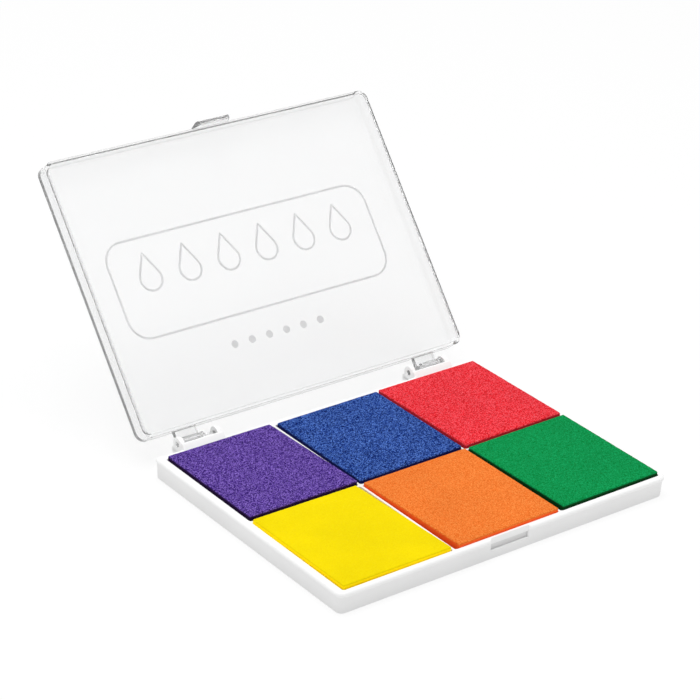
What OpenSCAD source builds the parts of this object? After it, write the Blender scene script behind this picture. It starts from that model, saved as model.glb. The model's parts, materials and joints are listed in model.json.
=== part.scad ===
// Six-colour ink pad in a hinged box: a shallow tray with six foam pads and a clear lid.
// X runs along the width, -Y is the front, +Z is up, and the origin is the middle of the underside.
// The lid is drawn shut, then turned about its hinge to where it stands open.

/* [Tray] */
// Width of the tray
tray_w = 160; // [158:0.5:162]
// Depth of the tray
tray_d = 120; // [119:0.5:122]
// Height of the rim above the table
rim_z = 9.5; // [9.1:0.1:9.5]
// Thickness of the floor under the pads
floor_t = 1.6; // [1.2:0.1:2]
// Radius of the two front corners, seen from above; the rear corners are square
tray_corner = 3.5; // [2.5:0.5:5]
// Rounding of the bottom edge
foot_round = 0.8; // [0.5:0.1:1.5]
// How far the rim stands proud of the wall below it
rim_proud = 0.5; // [0.3:0.1:0.6]
// How much narrower the foot is than the rim, on each side
wall_draft = 0.8; // [0.6:0.1:1.2]
// Thickness of the ribs between the pads
rib_t = 1; // [0.8:0.1:1.1]

/* [Thumb notch] */
// Width of the notch in the front wall
notch_w = 18.4; // [18:0.2:22]
// Height of the notch floor above the table
notch_floor = 4.1; // [3.5:0.1:4.2]
// Depth of the notch at the rim
notch_deep = 1.1; // [1:0.1:1.2]
// Height of the catch's lower edge above the table
catch_z = 6.7; // [6.3:0.1:7]

/* [Ink pads] */
// Width of one pad
pad_w = 50.1; // [49.5:0.1:50.3]
// Depth of one pad
pad_d = 56; // [55:0.1:56]
// Gap between pads across the width
gap_x = 1.7; // [1.7:0.1:1.9]
// Gap between pads across the depth
gap_y = 1.7; // [1.6:0.05:1.7]
// How far the pads stand above the rim
pad_proud = 1.6; // [1:0.1:2.5]
// Play between a pad and the tray wall
pad_play = 0.3; // [0.2:0.05:0.4]
// Thickness of the adhesive sheet under each pad
tape_t = 0.2; // [0.1:0.05:0.3]
// How much smaller the adhesive sheet is than its pad
tape_less = 3; // [2:0.5:6]
// Rounding of a pad's upright edges
pad_corner = 0.8; // [0.5:0.1:1.2]

/* [Lid] */
// Depth of the lid
lid_d = 117; // [116.8:0.1:117.2]
// Height of the lid
lid_h = 8.3; // [8:0.1:9]
// Thickness of the top panel
panel_t = 1.5; // [1.2:0.1:1.8]
// Thickness of the walls
lid_wall = 1.4; // [1.2:0.05:1.4]
// Radius of the outer corners, seen from above
lid_corner = 4; // [4:0.5:6]
// Radius of the inner corners, seen from above
lid_inner = 3; // [2.5:0.5:3]
// How far the lid's front wall is set back from the tray's
lid_back = 0.6; // [0.4:0.1:0.8]
// Width of the thumb tab where it joins the wall
tab_w = 17.6; // [14:0.2:17.6]
// How far the thumb tab hangs below the lid
tab_drop = 4.2; // [3:0.1:4.2]

/* [Hinge] */
// Distance of the hinge axis behind the tray's middle
axis_y = 63.3; // [63.2:0.1:63.6]
// Height of the hinge axis above the table
axis_z = 9.8; // [9.7:0.05:9.9]
// How far the lid opens from shut, in degrees
open_angle = 130.2; // [90:0.1:130.2]
// Radius of the hinge pins on the lid
pin_r = 1.1; // [0.9:0.05:1.2]
// Radial play of a pin in its ear
pin_play = 0.06; // [0.03:0.01:0.1]
// Radius of the lug's barrel
barrel_r = 2.3; // [2:0.1:2.3]
// Radius of the ears' round tops
ear_r = 2.9; // [2.6:0.1:3]
// Distance from the middle to each inner ear
ear_in = 48; // [40:1:50]
// Clear width between a pair of ears
ear_span = 15.5; // [15:0.1:16]
// Thickness of an ear
ear_t = 2; // [1.6:0.1:2.2]
// Width of the lid's lug
lug_w = 10.2; // [9:0.1:11]

/* [Print] */
// Width of the printed frame
frame_w = 130; // [100:1:136]
// Height of the printed frame
frame_h = 42; // [30:1:60]
// Width of the printed lines
line_w = 0.9; // [0.6:0.1:1.5]
// Thickness of the printed ink
ink_t = 0.12; // [0.1:0.01:0.2]

/* [Hidden] */
PAD_NAMES = ["yellow", "orange", "green", "purple", "blue", "red"];
PAD_COLOURS = ["gold", "darkorange", "seagreen", "rebeccapurple", "royalblue", "crimson"];
COLUMNS = 3;
over = 1;                                   // how far a cutter runs past what it cuts
pads_w = 3 * pad_w + 2 * gap_x;
front_wall = 2;
pads_front = -tray_d / 2 + front_wall + pad_play;
pad_bottom = floor_t + tape_t;
pad_top = rim_z + pad_proud;
lid_gap = 0.1;                              // play under the lid's free edge when it is shut
lid_z = rim_z + lid_gap;
lid_front = -tray_d / 2 + lid_back;
lid_rear = lid_front + lid_d;
rim_band = 2.3;                             // height of the band that stands proud at the rim
rim_round = 1.5;
lip_y = [-2.1, 0.7];                        // hinge shield, from the rear face of the tray
lip_crest = -0.1;                           // where its sloping front ends
lip_z = 11.6;
shelf_y = 7.2;                              // how far the hinge bracket reaches behind the tray
shelf_z = 7;
stop_z = 7.75;                              // top of the ledge that the open lid leans on
arm_z = [12, 14.6];                         // the lug's arm, where it leaves the lid's rear wall
lid_round = 1.2;                            // rounding of the lid's top edge, outside and inside
lid_round_in = 0.6;
tab_out = 1.6;                              // how far the tab flares out from the lid's front
tab_play = 0.25;                            // play between the tab and the floor of the notch
tab_root = 2.2;                             // height above the free edge at which the tab starts
tab_bend = 2.4;                             // depth below the free edge at which it is fully out
tab_taper = 1.4;                            // how much narrower the tab's tip is, on each side
tab_edge = 0.5;
lug_play = 0.3;                             // play between a lug and the outer ear
pin_short = 0.2;                            // how far a pin ends inside the ears' outer faces
notch_bevel = 0.7;
catch_deep = 0.5;                           // how much deeper the notch is below its catch
catch_slope = 0.2;
print_middle = 59.5;                        // from the lid's rear to the middle of the print
frame_round = 9;
drop_r = 5;
drop_step = 19;
drop_lift = -3;                             // from the middle of the frame to the drops
dot_r = 1.6;
dot_step = 8.6;
dot_gap = 11;                               // from the frame to the row of dots

function arc(cx, cz, r, from, to, n) =
    [for (i = [0:n]) let (a = from + (to - from) * i / n) [cx + r * cos(a), cz + r * sin(a)]];

function pad_x(i) = -pads_w / 2 + (i % COLUMNS) * (pad_w + gap_x);
function pad_y(i) = pads_front + floor(i / COLUMNS) * (pad_d + gap_y);

// A rectangle with round corners
module plate(w, h, r) {
    translate([-w / 2 + r, -h / 2]) square([w - 2 * r, h]);
    translate([-w / 2, -h / 2 + r]) square([w, h - 2 * r]);
    for (x = [-1, 1]) for (y = [-1, 1])
        translate([x * (w / 2 - r), y * (h / 2 - r)]) circle(r = r, $fn = 32);
}

// A block with round corners. The child is its edge profile, drawn from 0 to r, and z is its height.
// The rear corners can be square.
module edge_swept(w, d, r, z, square_rear = false) {
    for (x = [-1, 1]) for (y = square_rear ? [-1] : [-1, 1])
        translate([x * (w / 2 - r), y * (d / 2 - r), 0]) rotate_extrude($fn = 48) children();
    if (square_rear) for (s = [0, 1]) mirror([s, 0, 0])
        translate([w / 2 - r, d / 2 - r, 0]) intersection() {
            translate([0, r, 0]) rotate([90, 0, 0]) linear_extrude(r) children();
            translate([r, 0, 0]) mirror([1, 0, 0]) rotate([90, 0, 90]) linear_extrude(r) children();
        }
    for (s = [0, 180]) rotate([0, 0, s]) {
        translate([w / 2 - r, d / 2 - r, 0]) rotate([90, 0, 0]) linear_extrude(d - 2 * r) children();
        translate([-w / 2 + r, d / 2 - r, 0]) rotate([90, 0, 90]) linear_extrude(w - 2 * r) children();
    }
    translate([-w / 2 + r, -d / 2 + r, z[0]]) cube([w - 2 * r, d - 2 * r, z[1] - z[0]]);
}

module tray_edge() {
    r = tray_corner;
    foot = r - wall_draft;
    polygon(concat(
        [[0, 0]],
        arc(foot - foot_round, foot_round, foot_round, -90, 0, 4),
        [[r - rim_proud, rim_z - rim_band], [r, rim_z - rim_band + rim_proud]],
        arc(r - rim_round, rim_z - rim_round, rim_round, 0, 90, 5),
        [[0, rim_z]]
    ));
}

module tray_shell() {
    difference() {
        edge_swept(tray_w, tray_d, tray_corner, [0, rim_z], square_rear = true) tray_edge();
        for (i = [0:5]) pocket(i);
        notch();
    }
}

// One pocket, which leaves a rib on each side that faces another pad
module pocket(i) {
    col = i % COLUMNS;
    row = floor(i / COLUMNS);
    rib_x = (gap_x - rib_t) / 2;
    rib_y = (gap_y - rib_t) / 2;
    left = col == 0 ? pad_play : rib_x;
    right = col == COLUMNS - 1 ? pad_play : rib_x;
    front = row == 0 ? pad_play : rib_y;
    back = row == 1 ? pad_play : rib_y;
    translate([pad_x(i) - left, pad_y(i) - front, floor_t])
        cube([pad_w + left + right, pad_d + front + back, rim_z]);
}

// Cutter for the thumb notch: a catch for the tab, a deeper slot below it, and bevelled edges
module notch() {
    y0 = -tray_d / 2;
    translate([-notch_w / 2, 0, 0]) rotate([90, 0, 90]) linear_extrude(notch_w)
        polygon([
            [y0 - over, rim_z + over], [y0 + notch_deep, rim_z + over], [y0 + notch_deep, catch_z],
            [y0 + notch_deep + catch_deep, catch_z - catch_slope],
            [y0 + notch_deep + catch_deep, notch_floor], [y0 - over, notch_floor]
        ]);
    for (s = [-1, 1]) translate([s * notch_w / 2, y0, notch_floor]) linear_extrude(rim_z)
        polygon([[0, -over], [s * (notch_bevel + over), -over], [0, notch_bevel]]);
    translate([-notch_w / 2, y0, notch_floor]) rotate([90, 0, 90]) linear_extrude(notch_w)
        polygon([[-over, 0], [-over, -notch_bevel - over], [notch_bevel, 0]]);
}

// One hinge bracket on the right-hand half: a shield, a shelf with the open stop, and two ears
module bracket() {
    y0 = tray_d / 2;
    span = 2 * ear_t + ear_span;
    translate([ear_in, 0, 0]) rotate([90, 0, 90]) linear_extrude(span)
        polygon([
            [y0 + lip_y[0], 3], [y0 + 1, 3], [y0 + shelf_y, 5.4], [y0 + shelf_y, stop_z],
            [y0 + shelf_y - 1.3, stop_z], [y0 + shelf_y - 1.7, shelf_z], [y0 + lip_y[1], shelf_z],
            [y0 + lip_y[1], lip_z - 0.3], [y0 + lip_y[1] - 0.3, lip_z], [y0 + lip_crest, lip_z],
            [y0 + lip_y[0], rim_z]
        ]);
    for (x = [ear_in, ear_in + ear_t + ear_span]) translate([x, 0, 0]) ear();
}

module ear() {
    rotate([90, 0, 90]) linear_extrude(ear_t) difference() {
        union() {
            translate([axis_y, axis_z]) circle(r = ear_r, $fn = 64);
            translate([axis_y - ear_r, shelf_z - 1]) square([2 * ear_r, axis_z - shelf_z + 1]);
        }
        translate([axis_y, axis_z]) circle(r = pin_r + pin_play, $fn = 48);
    }
}

module tray() {
    color("whitesmoke") {
        tray_shell();
        bracket();
        mirror([1, 0, 0]) bracket();
    }
}

module pad(i) {
    color(PAD_COLOURS[i]) translate([pad_x(i) + pad_w / 2, pad_y(i) + pad_d / 2, pad_bottom])
        linear_extrude(pad_top - pad_bottom) plate(pad_w, pad_d, pad_corner);
}

module tape(i) {
    color("linen") translate([pad_x(i) + tape_less / 2, pad_y(i) + tape_less / 2, floor_t])
        cube([pad_w - tape_less, pad_d - tape_less, tape_t]);
}

// Turns what is drawn with the lid shut to where the lid stands open
module opened() {
    translate([0, axis_y, axis_z]) rotate([-open_angle, 0, 0]) translate([0, -axis_y, -axis_z]) children();
}

module lid_edge(r, h, round) {
    polygon(concat([[0, 0], [r, 0]], arc(r - round, h - round, round, 0, 90, 4), [[0, h]]));
}

module lid_shell() {
    inner_h = lid_h - panel_t;
    translate([0, lid_front + lid_d / 2, lid_z]) difference() {
        edge_swept(tray_w, lid_d, lid_corner, [0, lid_h]) lid_edge(lid_corner, lid_h, lid_round);
        translate([0, 0, -over])
            edge_swept(tray_w - 2 * lid_wall, lid_d - 2 * lid_wall, lid_inner, [0, over + inner_h])
            lid_edge(lid_inner, over + inner_h, lid_round_in);
    }
}

// The tab that hangs into the tray's notch and flares out for the thumb
module thumb_tab() {
    y0 = lid_front;
    tip_z = lid_z - tab_drop;
    inner = y0 + tab_play;
    half = tab_w / 2;
    root_z = lid_z + tab_root;
    intersection() {
        translate([-half, 0, 0]) rotate([90, 0, 90]) linear_extrude(tab_w)
            polygon([
                [inner, tip_z], [inner, lid_z], [y0 + lid_wall, lid_z], [y0 + lid_wall, lid_z + 1],
                [y0, root_z], [y0 - tab_out, lid_z - tab_bend], [y0 - tab_out, tip_z + tab_edge],
                [y0 - tab_out + tab_edge, tip_z]
            ]);
        translate([0, y0 - tab_out - over, 0]) rotate([-90, 0, 0])
            linear_extrude(tab_out + lid_wall + 2 * over)
            polygon([
                [-half, -root_z - over], [half, -root_z - over], [half, -lid_z],
                [half - tab_taper, -tip_z], [-half + tab_taper, -tip_z], [-half, -lid_z]
            ]);
    }
}

// One lug on the right-hand half: an arm from the rear wall, a barrel, and a pin on each side
module lug() {
    outer = ear_in + ear_t + ear_span;
    right = outer - lug_play;
    left = right - lug_w;
    translate([left, 0, 0]) rotate([90, 0, 90]) linear_extrude(lug_w) {
        translate([axis_y, axis_z]) circle(r = barrel_r, $fn = 64);
        polygon([
            [lid_rear - 0.6, arm_z[0]], [axis_y - 2.1, arm_z[0]], [axis_y - 1.4, axis_z + 1.4],
            [axis_y + 1.5, axis_z + 1.6], [axis_y - 0.7, axis_z + 3.8], [axis_y - 2.5, arm_z[1]],
            [lid_rear - 0.6, arm_z[1]]
        ]);
    }
    translate([ear_in + pin_short, axis_y, axis_z]) rotate([0, 90, 0])
        cylinder(h = outer + ear_t - ear_in - 2 * pin_short, r = pin_r, $fn = 48);
}

module lid() {
    color("aliceblue", 0.4) opened() {
        lid_shell();
        thumb_tab();
        lug();
        mirror([1, 0, 0]) lug();
    }
}

// An ink drop of radius r, with its point r * 2.2 from its middle
module drop(r) {
    circle(r = r, $fn = 32);
    polygon([[-r * 0.89, r * 0.455], [0, r * 2.2], [r * 0.89, r * 0.455]]);
}

module print_shapes() {
    difference() {
        plate(frame_w, frame_h, frame_round);
        plate(frame_w - 2 * line_w, frame_h - 2 * line_w, frame_round - line_w);
    }
    for (i = [0:5]) translate([(i - 2.5) * drop_step, drop_lift]) rotate([0, 0, 180]) difference() {
        drop(drop_r);
        drop(drop_r - line_w);
    }
    for (i = [0:5])
        translate([(i - 2.5) * dot_step, frame_h / 2 + dot_gap]) circle(r = dot_r, $fn = 24);
}

module lid_print() {
    color("silver") opened()
        translate([0, lid_rear - print_middle, lid_z + lid_h]) linear_extrude(ink_t) print_shapes();
}

tray();
lid();
lid_print();
for (i = [0:5]) pad(i);
for (i = [0:5]) tape(i);
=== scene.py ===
"""A six-colour ink pad: a white tray, six inked foam pads and a clear lid that stands open."""

import json
import math

import bmesh
import bpy
import numpy as np
from mathutils import Matrix, Vector


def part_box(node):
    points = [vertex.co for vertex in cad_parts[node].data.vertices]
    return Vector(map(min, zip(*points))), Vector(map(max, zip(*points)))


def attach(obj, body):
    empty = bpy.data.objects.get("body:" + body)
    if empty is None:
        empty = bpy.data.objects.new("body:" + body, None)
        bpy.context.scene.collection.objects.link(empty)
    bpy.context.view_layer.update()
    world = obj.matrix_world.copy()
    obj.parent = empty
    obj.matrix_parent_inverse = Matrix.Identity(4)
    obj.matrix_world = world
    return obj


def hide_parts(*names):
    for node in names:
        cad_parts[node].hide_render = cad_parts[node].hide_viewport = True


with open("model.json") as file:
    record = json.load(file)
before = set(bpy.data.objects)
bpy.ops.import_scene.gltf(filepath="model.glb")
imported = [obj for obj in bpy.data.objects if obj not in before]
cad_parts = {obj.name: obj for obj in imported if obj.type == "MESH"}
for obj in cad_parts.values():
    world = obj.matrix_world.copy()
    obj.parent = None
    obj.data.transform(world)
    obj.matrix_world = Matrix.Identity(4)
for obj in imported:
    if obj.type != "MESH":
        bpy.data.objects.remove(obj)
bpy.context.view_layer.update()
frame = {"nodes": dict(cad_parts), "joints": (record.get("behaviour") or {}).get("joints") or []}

MM = 0.001          # every size below is in millimetres, and a finished mesh is scaled to metres
PAD_NAMES = ("yellow", "orange", "green", "purple", "blue", "red")


def box_mm(node):
    """Lowest and highest corner of a CAD node, in millimetres."""
    low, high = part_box(node)
    return low / MM, high / MM


# ---------------------------------------------------------------- camera, light and floor

VIEW_FROM = (-38.26, 26.5, 2.68)            # azimuth, elevation and roll, in degrees
VIEW_DISTANCE = 1062.05
VIEW_TARGET = (27.56, 77.32, 20.0)
LENS = 131.72                               # on a sensor 36 mm wide
SKY = 0.58
OVERHEAD_WATTS = 17.0
SWEEP_GLOW = 0.83


def add_camera():
    azimuth, elevation, roll = (math.radians(angle) for angle in VIEW_FROM)
    back = Vector((
        math.sin(azimuth) * math.cos(elevation),
        -math.cos(azimuth) * math.cos(elevation),
        math.sin(elevation),
    ))
    level = back.cross(Vector((0, 0, -1))).normalized()
    upright = back.cross(level)
    across = math.cos(roll) * level + math.sin(roll) * upright
    up = math.cos(roll) * upright - math.sin(roll) * level
    place = (Vector(VIEW_TARGET) + back * VIEW_DISTANCE) * MM
    camera = bpy.data.objects.new("camera", bpy.data.cameras.new("camera"))
    camera.data.lens = LENS
    camera.data.sensor_width = 36
    camera.matrix_world = Matrix.Translation(place) @ Matrix((across, up, back)).transposed().to_4x4()
    bpy.context.scene.collection.objects.link(camera)
    bpy.context.scene.camera = camera


def add_node(tree, kind, inputs=None, **settings):
    """A new node. inputs maps a socket's name or number to a value or to another node's socket."""
    made = tree.nodes.new(kind)
    for key, value in settings.items():
        setattr(made, key, value)
    for key, value in (inputs or {}).items():
        if isinstance(value, bpy.types.NodeSocket):
            tree.links.new(value, made.inputs[key])
        else:
            made.inputs[key].default_value = value
    return made


def maths(tree, operation, *values):
    return add_node(tree, "ShaderNodeMath", dict(enumerate(values)), operation=operation).outputs[0]


def vectors(tree, operation, *values):
    return add_node(tree, "ShaderNodeVectorMath", dict(enumerate(values)), operation=operation).outputs[0]


def scaled(tree, vector, factor):
    return add_node(tree, "ShaderNodeVectorMath", {
        0: vector, "Scale": factor}, operation="SCALE").outputs[0]


def joined_xyz(tree, x=0.0, y=0.0, z=0.0):
    return add_node(tree, "ShaderNodeCombineXYZ", {0: x, 1: y, 2: z}).outputs[0]


def add_light(name, place, aim, size, watts):
    light = bpy.data.objects.new(name, bpy.data.lights.new(name, "AREA"))
    light.data.shape = "DISK"
    light.data.size = size
    light.data.energy = watts
    light.location = place
    light.rotation_euler = (Vector(aim) - Vector(place)).to_track_quat("-Z", "Y").to_euler()
    bpy.context.scene.collection.objects.link(light)


def add_studio():
    """A white sweep lit from below, under an even sky and one large soft light overhead."""
    world = bpy.data.worlds.new("studio")
    world.use_nodes = True
    sky = world.node_tree.nodes["Background"]
    sky.inputs["Color"].default_value = (1, 1, 1, 1)
    sky.inputs["Strength"].default_value = SKY
    bpy.context.scene.world = world
    add_light("overhead", (-0.15, 0.0, 1.5), (0, 0.05, 0), 1.3, OVERHEAD_WATTS)
    bpy.context.scene.view_settings.view_transform = "Standard"

    half = 4.0
    mesh = bpy.data.meshes.new("floor")
    corners = [(-half, -half, 0), (half, -half, 0), (half, half, 0), (-half, half, 0)]
    mesh.from_pydata(corners, [], [(0, 1, 2, 3)])
    floor = bpy.data.objects.new("floor", mesh)
    bpy.context.scene.collection.objects.link(floor)
    paper = bpy.data.materials.new("white_sweep")
    paper.use_nodes = True
    surface = paper.node_tree.nodes["Principled BSDF"]
    surface.inputs["Base Color"].default_value = (0.15, 0.15, 0.15, 1)
    surface.inputs["Emission Color"].default_value = (1, 1, 1, 1)
    surface.inputs["Emission Strength"].default_value = SWEEP_GLOW
    surface.inputs["Roughness"].default_value = 1.0
    surface.inputs["Specular IOR Level"].default_value = 0.0
    mesh.materials.append(paper)


# ---------------------------------------------------------------- outlines and solids

def rounded(points, steps=6):
    """A line whose corners are turned into arcs. Each point is (u, v, radius), and the ends stay."""
    line = [tuple(points[0][:2])]
    for before, here, after in zip(points, points[1:], points[2:]):
        corner = Vector(here[:2])
        if not here[2]:
            line.append(tuple(corner))
            continue
        to_before, to_after = Vector(before[:2]) - corner, Vector(after[:2]) - corner
        half = to_before.angle(to_after) / 2
        reach = min(here[2] / math.tan(half), 0.49 * to_before.length, 0.49 * to_after.length)
        start, end = corner + to_before.normalized() * reach, corner + to_after.normalized() * reach
        for step in range(steps + 1):
            t = step / steps
            share = ((1 - t) ** 2, 2 * t * (1 - t) * math.sin(half), t * t)
            line.append(tuple((start * share[0] + corner * share[1] + end * share[2]) / sum(share)))
    line.append(tuple(points[-1][:2]))
    return line


def rounded_loop(points, steps=6):
    return rounded([points[-1], *points, points[0]], steps)[1:-1]


def arc(centre, radius, start, end, steps):
    """Points on a circle, from one angle in degrees to another."""
    turns = [math.radians(start + (end - start) * step / steps) for step in range(steps + 1)]
    return [(centre[0] + radius * math.cos(t), centre[1] + radius * math.sin(t)) for t in turns]


def ring(half_w, half_d, radius, centre=(0, 0), front=(), steps=12, rear_radius=None):
    """A rectangle with round corners seen from above, anticlockwise, starting along its front edge."""
    loop = [(centre[0] + x, centre[1] - half_d) for x in front]
    for turn, (sx, sy) in zip((-90, 0, 90, 180), ((1, -1), (1, 1), (-1, 1), (-1, -1))):
        r = rear_radius if rear_radius and sy > 0 else radius
        corner = (centre[0] + sx * (half_w - r), centre[1] + sy * (half_d - r))
        loop += arc(corner, r, turn, turn + 90, steps)
    return loop


def add_loop(bm, loop, z):
    return [bm.verts.new((x, y, z)) for x, y in loop]


def bridge(bm, first, second):
    """Faces between two anticlockwise loops; they look outwards if second is above first."""
    for a, b, c, d in zip(first, first[1:] + first[:1], second[1:] + second[:1], second):
        bm.faces.new((a, b, c, d))


def fill_between(bm, loops):
    """Flat faces that look up, inside the first loop and outside the others."""
    edges = []
    for loop in loops:
        for a, b in zip(loop, loop[1:] + loop[:1]):
            edges.append(bm.edges.get((a, b)) or bm.edges.new((a, b)))
    made = bmesh.ops.triangle_fill(bm, use_beauty=True, use_dissolve=False, edges=edges)["geom"]
    for face in made:
        if isinstance(face, bmesh.types.BMFace):
            face.normal_update()
            if face.normal.z < 0:
                face.normal_flip()


def solid(name, bm):
    """An object in millimetres from a closed bmesh."""
    mesh = bpy.data.meshes.new(name)
    bm.to_mesh(mesh)
    bm.free()
    made = bpy.data.objects.new(name, mesh)
    bpy.context.scene.collection.objects.link(made)
    return made


def prism(outline, x0, x1, hole=None, bevel=0.2, taper=None):
    """An outline in (y, z) drawn out from x0 to x1, with its edges softly broken."""
    bm = bmesh.new()
    loops = [[bm.verts.new((0, y, z)) for y, z in loop] for loop in (outline, hole) if loop]
    edges = [bm.edges.new(pair) for loop in loops for pair in zip(loop, loop[1:] + loop[:1])]
    made = bmesh.ops.triangle_fill(bm, use_beauty=True, use_dissolve=False, edges=edges)["geom"]
    faces = [item for item in made if isinstance(item, bmesh.types.BMFace)]
    drawn = bmesh.ops.extrude_face_region(bm, geom=faces)["geom"]
    moved = [item for item in drawn if isinstance(item, bmesh.types.BMVert)]
    bmesh.ops.translate(bm, verts=moved, vec=(x1 - x0, 0, 0))
    bmesh.ops.translate(bm, verts=bm.verts[:], vec=(x0, 0, 0))
    if taper:
        for vert in bm.verts:
            vert.co.x *= taper(vert.co.z)
    bmesh.ops.recalc_face_normals(bm, faces=bm.faces[:])
    bmesh.ops.dissolve_limit(bm, angle_limit=math.radians(1), verts=bm.verts[:], edges=bm.edges[:])
    made = solid("prism", bm)
    if bevel:
        soften = made.modifiers.new("soften", "BEVEL")
        soften.width = bevel
        soften.segments = 3
        soften.limit_method = "ANGLE"
        soften.angle_limit = math.radians(40)
        settle(made)
    return made


def settle(obj):
    """Applies obj's modifiers to its mesh."""
    bpy.context.view_layer.update()
    seen = obj.evaluated_get(bpy.context.evaluated_depsgraph_get())
    mesh = bpy.data.meshes.new_from_object(seen)
    obj.modifiers.clear()
    obj.data = mesh


def union(base, others):
    """Joins closed solids into one skin."""
    for other in others:
        join = base.modifiers.new("join", "BOOLEAN")
        join.operation = "UNION"
        join.solver = "EXACT"
        join.object = other
        settle(base)
        bpy.data.objects.remove(other)
    return base


def finish_piece(obj, name, body, node, material, move=None, sharp=32):
    """Scales a solid to metres, shades it and puts it on its CAD body in place of its CAD node."""
    obj.name = obj.data.name = name
    if move is not None:
        obj.data.transform(move)
    obj.data.transform(Matrix.Scale(MM, 4))
    for face in obj.data.polygons:
        face.use_smooth = True
    obj.data.set_sharp_from_angle(angle=math.radians(sharp))
    even = obj.modifiers.new("even_normals", "WEIGHTED_NORMAL")
    even.keep_sharp = True
    even.weight = 100
    settle(obj)
    obj.data.name = name
    obj.data.materials.clear()
    obj.data.materials.append(material)
    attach(obj, body)
    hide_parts(node)
    return obj


# ---------------------------------------------------------------- materials

def new_material(name):
    """A material, its Principled node and the piece's own coordinates in metres."""
    material = bpy.data.materials.new(name)
    material.use_nodes = True
    tree = material.node_tree
    place = add_node(tree, "ShaderNodeTexCoord").outputs["Object"]
    return material, tree, tree.nodes["Principled BSDF"], place


def noise(tree, place, size_mm, detail=2.0, roughness=0.5):
    """Noise whose blotches are about size_mm across."""
    return add_node(tree, "ShaderNodeTexNoise", {
        "Vector": place, "Scale": 0.5 / (size_mm * MM), "Detail": detail, "Roughness": roughness,
    }).outputs["Fac"]


def spread(tree, value, low, high, start=0.3, end=0.7):
    """value, from start to end, spread over low to high."""
    return add_node(tree, "ShaderNodeMapRange", {
        "Value": value, "From Min": start, "From Max": end, "To Min": low, "To Max": high,
    }).outputs["Result"]


def ramp(tree, value, stops):
    """A colour for value, from stops of (position, (red, green, blue))."""
    node = add_node(tree, "ShaderNodeValToRGB", {"Fac": value})
    band = node.color_ramp
    while len(band.elements) < len(stops):
        band.elements.new(0.5)
    for element, (position, colour) in zip(band.elements, stops):
        element.position = position
        element.color = (*colour, 1)
    return node.outputs["Color"]


def bump(tree, height, depth_mm, strength=1.0, under=None):
    inputs = {"Height": height, "Distance": depth_mm * MM, "Strength": strength}
    if under is not None:
        inputs["Normal"] = under
    return add_node(tree, "ShaderNodeBump", inputs).outputs["Normal"]


def connect(tree, surface, **sockets):
    for name, value in sockets.items():
        tree.links.new(value, surface.inputs[name.replace("_", " ")])


def linear(red, green, blue):
    """A screen colour of 0 to 255 as light."""
    return tuple(
        (c / 255 / 12.92) if c <= 10 else ((c / 255 + 0.055) / 1.055) ** 2.4 for c in (red, green, blue)
    )


def tray_plastic():
    material, tree, surface, place = new_material("white_moulded_plastic")
    cloudy = noise(tree, place, 14, 3)
    skin = noise(tree, place, 0.9, 3, 0.6)
    colour = ramp(tree, cloudy, [(0.3, (0.94, 0.94, 0.94)), (0.7, (0.98, 0.98, 0.978))])
    # painted shade: the plastic's colour is darkened towards the bottom of the wall, near the floor, and
    # darker still deep in the thumb notch below its catch
    across, along, height = add_node(tree, "ShaderNodeSeparateXYZ", {"Vector": place}).outputs
    front = -TRAY_SIZE[1] / 2
    # painted shade: darker towards the bottom of the wall
    low_wall_shade = spread(tree, height, 0.8, 0.97, 0.0, 8.0 * MM)
    beside = maths(tree, "LESS_THAN", maths(tree, "ABSOLUTE", across), NOTCH_HALF * MM)
    behind = spread(tree, along, 0.0, 1.0, (front + 1.0) * MM, (front + 1.4) * MM)
    before = maths(tree, "LESS_THAN", along, (front + 1.9) * MM)
    low = spread(tree, height, 1.0, 0.0, (NOTCH_FLOOR + 0.5) * MM, (RIM_Z - 0.3) * MM)
    in_wall = maths(tree, "MULTIPLY", maths(tree, "MULTIPLY", beside, before), behind)
    # painted shade deep in the thumb notch, below its catch, where little light reaches
    in_notch = maths(tree, "MULTIPLY", in_wall, low)
    painted_shade = maths(tree, "MULTIPLY", low_wall_shade, spread(tree, in_notch, 1.0, NOTCH_SHADE, 0.0, 1.0))
    shaded = scaled(tree, colour, painted_shade)
    connect(tree, surface, Base_Color=shaded, Roughness=spread(tree, skin, 0.34, 0.48),
            Normal=bump(tree, skin, 0.012, 0.6))
    surface.inputs["IOR"].default_value = 1.49
    return material


def clear_plastic():
    material, tree, surface, place = new_material("clear_moulded_plastic")
    flow = noise(tree, place, 22, 2)
    haze = noise(tree, place, 5, 3, 0.6)
    connect(tree, surface, Roughness=spread(tree, haze, 0.0, 0.03), Normal=bump(tree, flow, 0.05, 0.2))
    surface.inputs["Base Color"].default_value = (0.985, 0.988, 0.99, 1)
    surface.inputs["Transmission Weight"].default_value = 0.9
    surface.inputs["IOR"].default_value = 1.38
    return material


def print_ink():
    material, tree, surface, place = new_material("pale_screen_ink")
    cover = noise(tree, place, 0.6, 3, 0.6)
    colour = ramp(tree, cover, [(0.3, (0.9, 0.9, 0.91)), (0.7, (0.97, 0.97, 0.975))])
    connect(tree, surface, Base_Color=colour, Roughness=spread(tree, cover, 0.45, 0.65),
            Normal=bump(tree, cover, 0.01, 0.5))
    surface.inputs["Transmission Weight"].default_value = 0.68
    surface.inputs["IOR"].default_value = 1.3
    return material


def adhesive_film():
    material, tree, surface, place = new_material("adhesive_film")
    wet = noise(tree, place, 3, 3)
    colour = ramp(tree, wet, [(0.3, (0.62, 0.58, 0.50)), (0.7, (0.74, 0.71, 0.63))])
    connect(tree, surface, Base_Color=colour, Roughness=spread(tree, wet, 0.25, 0.5),
            Normal=bump(tree, wet, 0.02, 0.4))
    return material


GRAIN = 0.28                                # size of the foam's specks
FACE_LIGHT, SIDE_LIGHT = 1.25, 0.85         # how brightly the studio lights a face and a side


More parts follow.
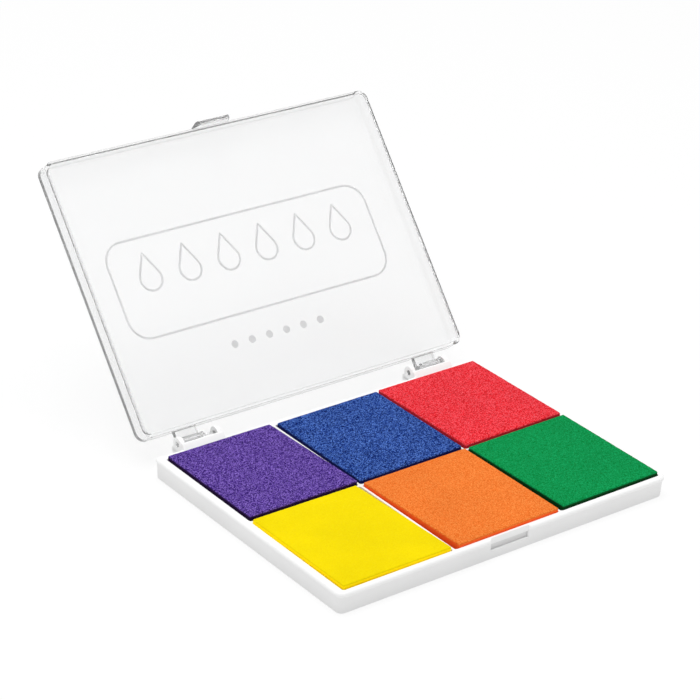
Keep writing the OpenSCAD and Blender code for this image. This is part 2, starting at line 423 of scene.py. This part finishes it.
def inked_foam(name, face, side, speck, top_mm):
    """Fine open-cell foam soaked with ink: specks on the face, a darker cut edge."""
    material, tree, surface, place = new_material("inked_foam_" + name)
    scatter = add_node(tree, "ShaderNodeTexVoronoi", {
        "Vector": place, "Scale": 1 / (GRAIN * MM)}).outputs["Color"]
    grains = add_node(tree, "ShaderNodeSeparateColor", {"Color": scatter}).outputs[0]
    cells = noise(tree, place, 0.5, 1.5, 0.6)
    patches = noise(tree, place, 9, 2)
    dark, middle, light = (
        tuple(c / FACE_LIGHT for c in linear(*(min(max(c + offset, 0), 255) for c in face)))
        for offset in (-speck, 0, speck)
    )
    edge = tuple(c / SIDE_LIGHT for c in linear(*side))
    speckled = ramp(tree, grains, [(0.0, dark), (0.5, middle), (1.0, light)])
    height = add_node(tree, "ShaderNodeSeparateXYZ", {"Vector": place}).outputs["Z"]
    on_top = spread(tree, height, 0.0, 1.0, (top_mm - 0.75) * MM, (top_mm - 0.3) * MM)
    colour = add_node(tree, "ShaderNodeMix", {
        0: on_top, 6: (*edge, 1), 7: speckled}, data_type="RGBA").outputs[2]
    shaded = scaled(tree, colour, spread(tree, patches, 0.96, 1.04))
    connect(tree, surface, Base_Color=shaded, Roughness=spread(tree, cells, 0.95, 0.7),
            Normal=bump(tree, cells, 0.12, 0.5))
    surface.inputs["Specular IOR Level"].default_value = 0.05
    return material


# ---------------------------------------------------------------- tray

TRAY_SIZE = (160.0, 120.0)
TRAY_CORNER = 3.5                           # of the front corners; the rear ones are all but square
REAR_CORNER = 0.8
RIM_Z, RIM_ROUND = 9.5, 1.5
FLOOR_Z = 1.6
# the wall's outline from the underside to the rim: (how far it is set in from the rim, height)
TRAY_WALL = rounded([
    (2.6, 0, 0), (0.8, 0, 0.8), (0.5, 7.2, 0.3), (0, 7.7, 0.3), (0, RIM_Z - RIM_ROUND, 0),
], 8)[1:-1] + arc((RIM_ROUND, RIM_Z - RIM_ROUND), RIM_ROUND, 180, 90, 10)
NOTCH_HALF = 9.2
NOTCH_FLOOR = 4.1
NOTCH_BEVEL = 0.7
NOTCH_DEPTH = (1.6, 1.1)                    # below its catch and above it
NOTCH_SHADE = 0.78                          # how much of the plastic's colour the painted shade deep in it keeps
CATCH_Z, CATCH_SLOPE = 6.7, 0.2
WALL_PLAY, RIB_X, RIB_Y = 0.3, 0.35, 0.35   # from a pad to its pocket's side
POCKET_CORNER = 0.9
EDGE = 0.25                                 # rounding along the pockets
DEEP = 9.0                                  # stands for "past any wall"

# across the notch and up through it: (place, depth, rounding)
NOTCH_SIDE = rounded([
    (NOTCH_HALF + 1.6, 0, 0), (NOTCH_HALF + NOTCH_BEVEL, 0, 0.3),
    (NOTCH_HALF, NOTCH_BEVEL, 0.12), (NOTCH_HALF - 0.08, 2.2, 0),
], 3)
NOTCH_RISE = rounded([
    (NOTCH_FLOOR - 1.5, 0, 0), (NOTCH_FLOOR - NOTCH_BEVEL, 0, 0.3),
    (NOTCH_FLOOR, NOTCH_BEVEL, 0.12), (NOTCH_FLOOR + 0.06, 2.2, 0),
], 3)
NOTCH_BACK = rounded([
    (NOTCH_FLOOR, NOTCH_DEPTH[0], 0), (CATCH_Z - CATCH_SLOPE, NOTCH_DEPTH[0], 0.08),
    (CATCH_Z, NOTCH_DEPTH[1], 0.12), (RIM_Z, NOTCH_DEPTH[1], 0),
], 3)


def notch_depth(x, z):
    """How far the thumb notch is cut into the front wall at x and z."""
    side = np.interp(-abs(x), [-place for place, _ in NOTCH_SIDE], [depth for _, depth in NOTCH_SIDE])
    rise = np.interp(z, [place for place, _ in NOTCH_RISE], [depth for _, depth in NOTCH_RISE])
    wall = np.interp(z, [place for place, _ in NOTCH_BACK], [depth for _, depth in NOTCH_BACK])
    past = max(0.0, z - (RIM_Z - EDGE)) / EDGE
    lip = EDGE * (1 - math.sqrt(max(0.0, 1 - past * past)))
    past_side = side if abs(x) > NOTCH_HALF - 0.08 else DEEP
    past_floor = rise if z < NOTCH_FLOOR + 0.06 else DEEP
    return min(past_side, past_floor, wall + lip)


def tray_ring(inset, z):
    half_w, half_d = TRAY_SIZE[0] / 2, TRAY_SIZE[1] / 2
    right = [x for x, _ in NOTCH_SIDE[::-1]]
    inner = [NOTCH_HALF - 0.3, 6.0, 3.0]
    front = [-x for x in right[::-1] + inner] + [0.0] + inner[::-1] + right
    loop = ring(half_w - inset, half_d - inset, max(TRAY_CORNER - inset, 0.4), front=front,
                rear_radius=max(REAR_CORNER - inset, 0.15))
    cut = [(x, max(y, notch_depth(x, z) - half_d)) for x, y in loop[:len(front)]]
    return cut + loop[len(front):]


def pocket_box(index):
    """Middle and half sizes of the pocket that holds a pad."""
    low, high = box_mm("pad_" + PAD_NAMES[index])
    column, row = index % 3, index // 3
    left = low.x - (WALL_PLAY if column == 0 else RIB_X)
    right = high.x + (WALL_PLAY if column == 2 else RIB_X)
    front = low.y - (WALL_PLAY if row == 0 else RIB_Y)
    back = high.y + (WALL_PLAY if row == 1 else RIB_Y)
    return ((left + right) / 2, (front + back) / 2), (right - left) / 2, (back - front) / 2


def make_tray_shell():
    levels = sorted({round(z, 4) for _, z in TRAY_WALL} | {round(z, 4) for z, _ in NOTCH_RISE + NOTCH_BACK})
    bm = bmesh.new()
    below = None
    for z in levels:
        inset = np.interp(z, [height for _, height in TRAY_WALL], [inset for inset, _ in TRAY_WALL])
        loop = add_loop(bm, tray_ring(inset, z), z)
        if below is None:
            bm.faces.new(loop[::-1])
        else:
            bridge(bm, below, loop)
        below = loop
    rims = []
    for index in range(len(PAD_NAMES)):
        centre, half_w, half_d = pocket_box(index)
        side = [(-EDGE * 2, RIM_Z, 0), (0, RIM_Z, EDGE), (0, FLOOR_Z, EDGE), (EDGE * 3, FLOOR_Z, 0)]
        outline = rounded(side, 4)
        above = None
        for inset, z in outline[1:-1]:
            edge = ring(half_w - inset, half_d - inset, POCKET_CORNER - inset, centre, steps=5)
            loop = add_loop(bm, edge, z)
            if above is None:
                rims.append(loop)
            else:
                bridge(bm, above, loop)
            above = loop
        bm.faces.new(above)
    fill_between(bm, [below, *rims])
    return solid("tray", bm)


HINGE = Vector(frame["joints"][0]["pos_m"]) / MM
EAR_RADIUS, EAR_FOOT, BORE_RADIUS = 2.9, 6.2, 1.16
EARS = ((48.0, 50.0), (65.5, 67.5))
# the bracket behind each pair of ears: a shield, a shelf and the ledge that the open lid leans on
BRACKET = [
    (57.7, 3.4, 0), (61, 3, 0.6), (67.2, 5.4, 0.8), (67.2, 7.75, 0.3), (65.9, 7.75, 0.2), (65.5, 7, 0.3),
    (60.7, 7, 0.4), (60.7, 11.6, 0.45), (59.9, 11.6, 0.5), (57.8, 9.4, 0),
]


def make_bracket(side):
    """The hinge bracket on one side of the tray; side is 1 or -1."""
    def both_ways(x0, x1):
        return (x0, x1) if side > 0 else (-x1, -x0)
    parts = [prism(rounded_loop(BRACKET, 4), *both_ways(EARS[0][0], EARS[1][1]), bevel=0.25)]
    ear = arc((HINGE.y, HINGE.z), EAR_RADIUS, 0, 180, 28)
    ear += [(HINGE.y - EAR_RADIUS, EAR_FOOT), (HINGE.y + EAR_RADIUS, EAR_FOOT)]
    bore = arc((HINGE.y, HINGE.z), BORE_RADIUS, 0, 360 * 35 / 36, 35)
    parts += [prism(ear, *both_ways(*place), hole=bore, bevel=0.25) for place in EARS]
    return parts


def make_tray(material):
    parts = make_bracket(1) + make_bracket(-1)
    tray = union(make_tray_shell(), parts)
    return finish_piece(tray, "tray_body", "base", "tray", material)


# ---------------------------------------------------------------- lid

LID_FRONT, LID_REAR = -59.4, 57.6
LID_LOW, LID_TOP = 9.6, 17.9
LID_CORNER, LID_INNER = 4.0, 3.0
LID_WALL, LID_PANEL = 1.4, 1.5
LID_OPEN = math.radians(frame["joints"][0]["range_deg"][1])
# outlines of the lid's outside and inside, from the free edge up: (set in, height, rounding)
LID_OUTSIDE = [(0.6, LID_LOW, 0), (0, LID_LOW, 0.2), (0, LID_TOP, 1.2), (3, LID_TOP, 0)]
LID_INSIDE = [
    (LID_WALL - 0.6, LID_LOW, 0), (LID_WALL, LID_LOW, 0.2), (LID_WALL, LID_TOP - LID_PANEL, 0.6),
    (LID_WALL + 2, LID_TOP - LID_PANEL, 0),
]
# the thumb tab's side view
TAB_HALF, TAB_TAPER, TAB_TIP = 8.8, 1.4, 5.4
TAB = [
    (LID_FRONT + 0.25, TAB_TIP, 0.2), (LID_FRONT + 0.25, LID_LOW, 0.3), (LID_FRONT + 0.9, LID_LOW + 0.3, 0),
    (LID_FRONT + 0.9, LID_LOW + 1.2, 0), (LID_FRONT + 0.05, LID_LOW + 2.2, 0),
    (LID_FRONT - 1.6, LID_LOW - 2.4, 1.0), (LID_FRONT - 1.6, TAB_TIP, 0.5),
]
LUG = (55.0, 65.2)
ARM_LOW, ARM_HIGH = 12.0, 14.6              # the lug's arm where it leaves the lid's rear wall
BARREL_RADIUS, PIN_RADIUS = 2.3, 1.1
PIN = (48.2, 67.3)


def opened():
    """Turns what is drawn with the lid shut to where it stands open."""
    back = Matrix.Translation(-HINGE)
    return Matrix.Translation(HINGE) @ Matrix.Rotation(-LID_OPEN, 4, "X") @ back


def make_lid_shell():
    centre = (0, (LID_FRONT + LID_REAR) / 2)
    half_w, half_d = TRAY_SIZE[0] / 2, (LID_REAR - LID_FRONT) / 2
    bm = bmesh.new()
    skins = []
    for outline, corner, turn in ((LID_OUTSIDE, LID_CORNER, 1), (LID_INSIDE, LID_INNER + LID_WALL, -1)):
        loops = [
            add_loop(bm, ring(half_w - inset, half_d - inset, corner - inset, centre), z)
            for inset, z in rounded(outline, 6)[1:-1]
        ]
        for low, high in zip(loops, loops[1:]):
            bridge(bm, *((low, high) if turn > 0 else (high, low)))
        bm.faces.new(loops[-1][::turn])
        skins.append(loops[0])
    bridge(bm, skins[1], skins[0])
    bmesh.ops.recalc_face_normals(bm, faces=bm.faces[:])
    return solid("lid", bm)


def tab_width(z):
    """The tab narrows towards its tip."""
    return 1 - TAB_TAPER / TAB_HALF * min(1.0, max(0.0, (LID_LOW - z) / (LID_LOW - TAB_TIP)))


def make_lid(material):
    lug = [(LID_REAR - 0.7, ARM_LOW), (61.2, ARM_LOW)]
    lug += arc((HINGE.y, HINGE.z), BARREL_RADIUS, 135, 422, 36)
    lug += [(62.6, 13.6), (61.8, 14.25), (60.8, ARM_HIGH), (LID_REAR - 0.7, ARM_HIGH)]
    pin = arc((HINGE.y, HINGE.z), PIN_RADIUS, 0, 360 * 31 / 32, 31)
    parts = [prism(rounded_loop(TAB, 4), -TAB_HALF, TAB_HALF, bevel=0.25, taper=tab_width)]
    for side in (1, -1):
        for outline, ends, soft in ((lug, LUG, 0.25), (pin, PIN, 0.15)):
            x0, x1 = sorted(side * x for x in ends)
            parts.append(prism(outline, x0, x1, bevel=soft))
    lid = union(make_lid_shell(), parts)
    return finish_piece(lid, "lid_shell", "lid", "lid", material, opened())


# ---------------------------------------------------------------- repeated shapes

def new_tree(name, sockets):
    """An empty Geometry Nodes tree with named inputs. sockets maps a name to its kind and value."""
    tree = bpy.data.node_groups.new(name, "GeometryNodeTree")
    tree.interface.new_socket(name="Geometry", in_out="OUTPUT", socket_type="NodeSocketGeometry")
    for label, (kind, value) in sockets.items():
        socket = tree.interface.new_socket(name=label, in_out="INPUT", socket_type="NodeSocket" + kind)
        if value is not None:
            socket.default_value = value
    return tree, add_node(tree, "NodeGroupInput").outputs


def grown(name, tree, values):
    """A plain mesh object made by a Geometry Nodes tree with these input values."""
    obj = bpy.data.objects.new(name, bpy.data.meshes.new(name))
    bpy.context.scene.collection.objects.link(obj)
    modifier = obj.modifiers.new("grow", "NODES")
    modifier.node_group = tree
    for item in tree.interface.items_tree:
        if item.in_out == "INPUT" and item.name in values:
            modifier[item.identifier] = values[item.name]
    settle(obj)
    return obj


def close_tree(tree, geometry, material):
    """Ends a tree with real geometry, smooth shading and its material."""
    real = add_node(tree, "GeometryNodeRealizeInstances", {0: geometry}).outputs[0]
    smooth = add_node(tree, "GeometryNodeSetShadeSmooth", {0: real}).outputs[0]
    coated = add_node(tree, "GeometryNodeSetMaterial", {
        "Geometry": smooth, "Material": material}).outputs[0]
    add_node(tree, "NodeGroupOutput", {0: coated})
    return tree


def foam_tree():
    """A die-cut foam block: round edges, a slight crown, wavy cut sides and open cells."""
    tree, given = new_tree("foam_pad", {
        "Size": ("Vector", (50, 56, 9)), "Edge": ("Float", 0.5), "Crown": ("Float", 0.1),
        "Cell Size": ("Float", 0.7), "Cell Depth": ("Float", 0.1), "Wave": ("Float", 0.15),
        "Spacing": ("Float", 0.35), "Middle": ("Vector", (0, 0, 0)), "Seed": ("Float", 0.0),
        "Foam": ("Material", None),
    })
    size = add_node(tree, "ShaderNodeSeparateXYZ", {0: given["Size"]}).outputs
    counts = [
        maths(tree, "ROUND", maths(tree, "DIVIDE", size[axis], given["Spacing"])) for axis in range(3)
    ]
    block = add_node(tree, "GeometryNodeMeshCube", {
        "Size": given["Size"], "Vertices X": counts[0], "Vertices Y": counts[1], "Vertices Z": counts[2],
    }).outputs[0]

    here = add_node(tree, "GeometryNodeInputPosition").outputs[0]
    edges = joined_xyz(tree, given["Edge"], given["Edge"], given["Edge"])
    core = vectors(tree, "SUBTRACT", scaled(tree, given["Size"], 0.5), edges)
    inner = vectors(tree, "MAXIMUM", vectors(tree, "MINIMUM", here, core), scaled(tree, core, -1.0))
    outwards = vectors(tree, "NORMALIZE", vectors(tree, "SUBTRACT", here, inner))
    round_block = add_node(tree, "GeometryNodeSetPosition", {
        "Geometry": block, "Position": vectors(tree, "ADD", inner, scaled(tree, outwards, given["Edge"])),
    }).outputs[0]

    seeded = vectors(tree, "ADD", here, joined_xyz(tree, z=given["Seed"]))
    wave = add_node(tree, "ShaderNodeTexNoise", {
        "Vector": seeded, "Scale": 0.09, "Detail": 2.0}).outputs["Color"]
    drift = scaled(tree, vectors(tree, "SUBTRACT", wave, (0.5, 0.5, 0.5)), given["Wave"])
    flat_drift = vectors(tree, "MULTIPLY", drift, (1.0, 1.0, 0.5))
    share = add_node(tree, "ShaderNodeSeparateXYZ", {
        0: vectors(tree, "DIVIDE", here, given["Size"])}).outputs
    falls = [maths(tree, "SUBTRACT", 1.0, maths(tree, "POWER", maths(tree, "ABSOLUTE",
             maths(tree, "MULTIPLY", share[axis], 2.0)), 4.0)) for axis in range(2)]
    upper = maths(tree, "GREATER_THAN", share[2], 0.0)
    crown = maths(tree, "MULTIPLY", maths(tree, "MULTIPLY", falls[0], falls[1]),
                  maths(tree, "MULTIPLY", upper, given["Crown"]))
    lifted = add_node(tree, "GeometryNodeSetPosition", {
        "Geometry": round_block, "Offset": vectors(tree, "ADD", flat_drift, joined_xyz(tree, z=crown)),
    }).outputs[0]

    cell_scale = maths(tree, "DIVIDE", 1.0, given["Cell Size"])
    cells = add_node(tree, "ShaderNodeTexVoronoi", {
        "Vector": seeded, "Scale": cell_scale}).outputs["Distance"]
    fine = add_node(tree, "ShaderNodeTexNoise", {
        "Vector": seeded, "Scale": cell_scale, "Detail": 1.0}).outputs["Fac"]
    height = maths(tree, "ADD", maths(tree, "SUBTRACT", cells, 0.75), maths(tree, "SUBTRACT", fine, 0.5))
    lower = maths(tree, "GREATER_THAN", share[2], -0.49)
    depth = maths(tree, "MULTIPLY", maths(tree, "MULTIPLY", height, given["Cell Depth"]), lower)
    normal = add_node(tree, "GeometryNodeInputNormal").outputs[0]
    grained = add_node(tree, "GeometryNodeSetPosition", {
        "Geometry": lifted, "Offset": scaled(tree, normal, depth)}).outputs[0]
    placed = add_node(tree, "GeometryNodeTransform", {
        "Geometry": grained, "Translation": given["Middle"]}).outputs[0]
    return close_tree(tree, placed, given["Foam"])


# screen colours of each pad's face and cut side, how strong its specks are, and
# how far its corners are off the square: front left, front right, rear right and rear left
PADS = {
    "yellow": ((255, 228, 0), (255, 220, 6), 6, ((0.1, 0.05), (-0.4, -0.2), (-2.3, -0.2), (-0.3, 0.1))),
    "orange": ((253, 128, 50), (236, 92, 36), 28, ((1.3, -0.2), (0.0, -0.2), (0.0, 0.0), (-0.3, -0.2))),
    "green": ((0, 147, 75), (6, 58, 22), 27, ((0.9, 0.1), (-0.1, 0.05), (0.2, 0.3), (-0.1, -0.2))),
    "purple": ((73, 40, 140), (33, 15, 54), 87, ((0.3, 0.5), (0.3, 0.2), (-1.5, 0.1), (0.1, 0.0))),
    "blue": ((0, 44, 133), (13, 20, 78), 104, ((-0.3, -0.2), (0.0, 0.1), (0.0, -0.5), (-0.2, -0.9))),
    "red": ((252, 40, 52), (172, 31, 43), 66, ((0.1, -0.3), (0.1, 0.1), (-0.1, -0.1), (-0.3, 0.0))),
}


def trim(obj, low, high, corners):
    """Moves a block's corners by small amounts seen from above, and what is between them with them."""
    places = np.empty(len(obj.data.vertices) * 3)
    obj.data.vertices.foreach_get("co", places)
    places = places.reshape(-1, 3)
    u, v = ((places[:, axis] - low[axis]) / (high[axis] - low[axis]) for axis in range(2))
    shares = np.stack([(1 - u) * (1 - v), u * (1 - v), u * v, (1 - u) * v], axis=1)
    places[:, :2] += shares @ np.array(corners)
    obj.data.vertices.foreach_set("co", places.ravel())


def make_pads():
    tree = foam_tree()
    for index, name in enumerate(PAD_NAMES):
        face, side, speck, corners = PADS[name]
        low, high = box_mm("pad_" + name)
        material = inked_foam(name, face, side, speck, high.z)
        pad = grown("foam_" + name, tree, {
            "Size": high - low, "Middle": (low + high) / 2, "Seed": 40.0 * (index + 1), "Foam": material,
        })
        trim(pad, low, high, corners)
        pad.data.transform(Matrix.Scale(MM, 4))
        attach(pad, "base")
        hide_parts("pad_" + name)


def print_tree():
    """A pale frame with a row of ink drops in it and a row of dots beyond it, printed flat."""
    tree, given = new_tree("printed_motif", {
        "Frame Width": ("Float", 130), "Frame Height": ("Float", 42), "Frame Corner": ("Float", 9),
        "Line": ("Float", 0.9), "Ink": ("Float", 0.12), "Count": ("Int", 6),
        "Drop Radius": ("Float", 5), "Drop Step": ("Float", 19), "Drop Shift": ("Float", -3),
        "Dot Radius": ("Float", 1.6), "Dot Step": ("Float", 8.6), "Dot Gap": ("Float", 11),
        "Middle": ("Vector", (0, 0, 0)), "Print": ("Material", None),
    })
    stroke_profile = add_node(tree, "GeometryNodeCurvePrimitiveQuadrilateral", {
        "Width": given["Line"], "Height": given["Ink"]}).outputs[0]

    def stroke(curve):
        return add_node(tree, "GeometryNodeCurveToMesh", {
            "Curve": curve, "Profile Curve": stroke_profile, "Fill Caps": True}).outputs[0]

    def row(shape, step, shift):
        """Copies of a shape side by side, centred across the panel."""
        first = maths(tree, "MULTIPLY", maths(tree, "SUBTRACT", given["Count"], 1.0),
                      maths(tree, "MULTIPLY", step, -0.5))
        line = add_node(tree, "GeometryNodeMeshLine", {
            "Count": given["Count"], "Start Location": joined_xyz(tree, first, shift),
            "Offset": joined_xyz(tree, step),
        }).outputs[0]
        return add_node(tree, "GeometryNodeInstanceOnPoints", {
            "Points": line, "Instance": shape}).outputs[0]

    inner_width = maths(tree, "SUBTRACT", given["Frame Width"], given["Line"])
    inner_height = maths(tree, "SUBTRACT", given["Frame Height"], given["Line"])
    outline = add_node(tree, "GeometryNodeCurvePrimitiveQuadrilateral", {
        "Width": inner_width, "Height": inner_height}).outputs[0]
    frame_curve = add_node(tree, "GeometryNodeFilletCurve", {
        "Curve": outline, "Radius": given["Frame Corner"], "Count": 12,
        "Limit Radius": True,
    }, mode="POLY").outputs[0]

    circle = add_node(tree, "GeometryNodeCurvePrimitiveCircle", {
        "Resolution": 64, "Radius": given["Drop Radius"]}).outputs[0]
    here = add_node(tree, "GeometryNodeInputPosition").outputs[0]
    part = add_node(tree, "ShaderNodeSeparateXYZ", {0: here}).outputs
    tangent = math.acos(1 / 2.2)            # the drop's point is 2.2 radii from its middle
    downwards = maths(tree, "MULTIPLY", part[1], -1.0)
    off_axis = maths(tree, "ARCTAN2", maths(tree, "ABSOLUTE", part[0]), downwards)
    past = maths(tree, "MAXIMUM", maths(tree, "SUBTRACT", tangent, off_axis), 0.0)
    stretch = maths(tree, "DIVIDE", 1.0, maths(tree, "COSINE", past))
    drop_curve = add_node(tree, "GeometryNodeSetPosition", {
        "Geometry": circle, "Position": scaled(tree, here, stretch)}).outputs[0]

    dot = add_node(tree, "GeometryNodeMeshCylinder", {
        "Vertices": 32, "Radius": given["Dot Radius"], "Depth": given["Ink"]}).outputs[0]
    half_frame = maths(tree, "MULTIPLY", given["Frame Height"], 0.5)
    parts = add_node(tree, "GeometryNodeJoinGeometry").inputs[0]
    for shape in (
        stroke(frame_curve),
        row(stroke(drop_curve), given["Drop Step"], given["Drop Shift"]),
        row(dot, given["Dot Step"], maths(tree, "ADD", half_frame, given["Dot Gap"])),
    ):
        tree.links.new(shape, parts)
    placed = add_node(tree, "GeometryNodeTransform", {
        "Geometry": parts.node.outputs[0], "Translation": given["Middle"]}).outputs[0]
    return close_tree(tree, placed, given["Print"])


PRINT_BACK = 59.5                           # from the lid's rear to the middle of the frame
INK = 0.12


def make_print(material):
    motif = grown("print", print_tree(), {
        "Ink": INK, "Middle": Vector((0, LID_REAR - PRINT_BACK, LID_TOP + INK * 0.4)), "Print": material,
    })
    return finish_piece(motif, "printed_motif", "lid", "lid_print", material, opened())


# ---------------------------------------------------------------- the whole object

add_camera()
add_studio()
make_tray(tray_plastic())
make_lid(clear_plastic())
make_print(print_ink())
make_pads()
film = adhesive_film()
for pad_name in PAD_NAMES:
    tape = frame["nodes"]["tape_" + pad_name]
    tape.data.materials.clear()
    tape.data.materials.append(film)
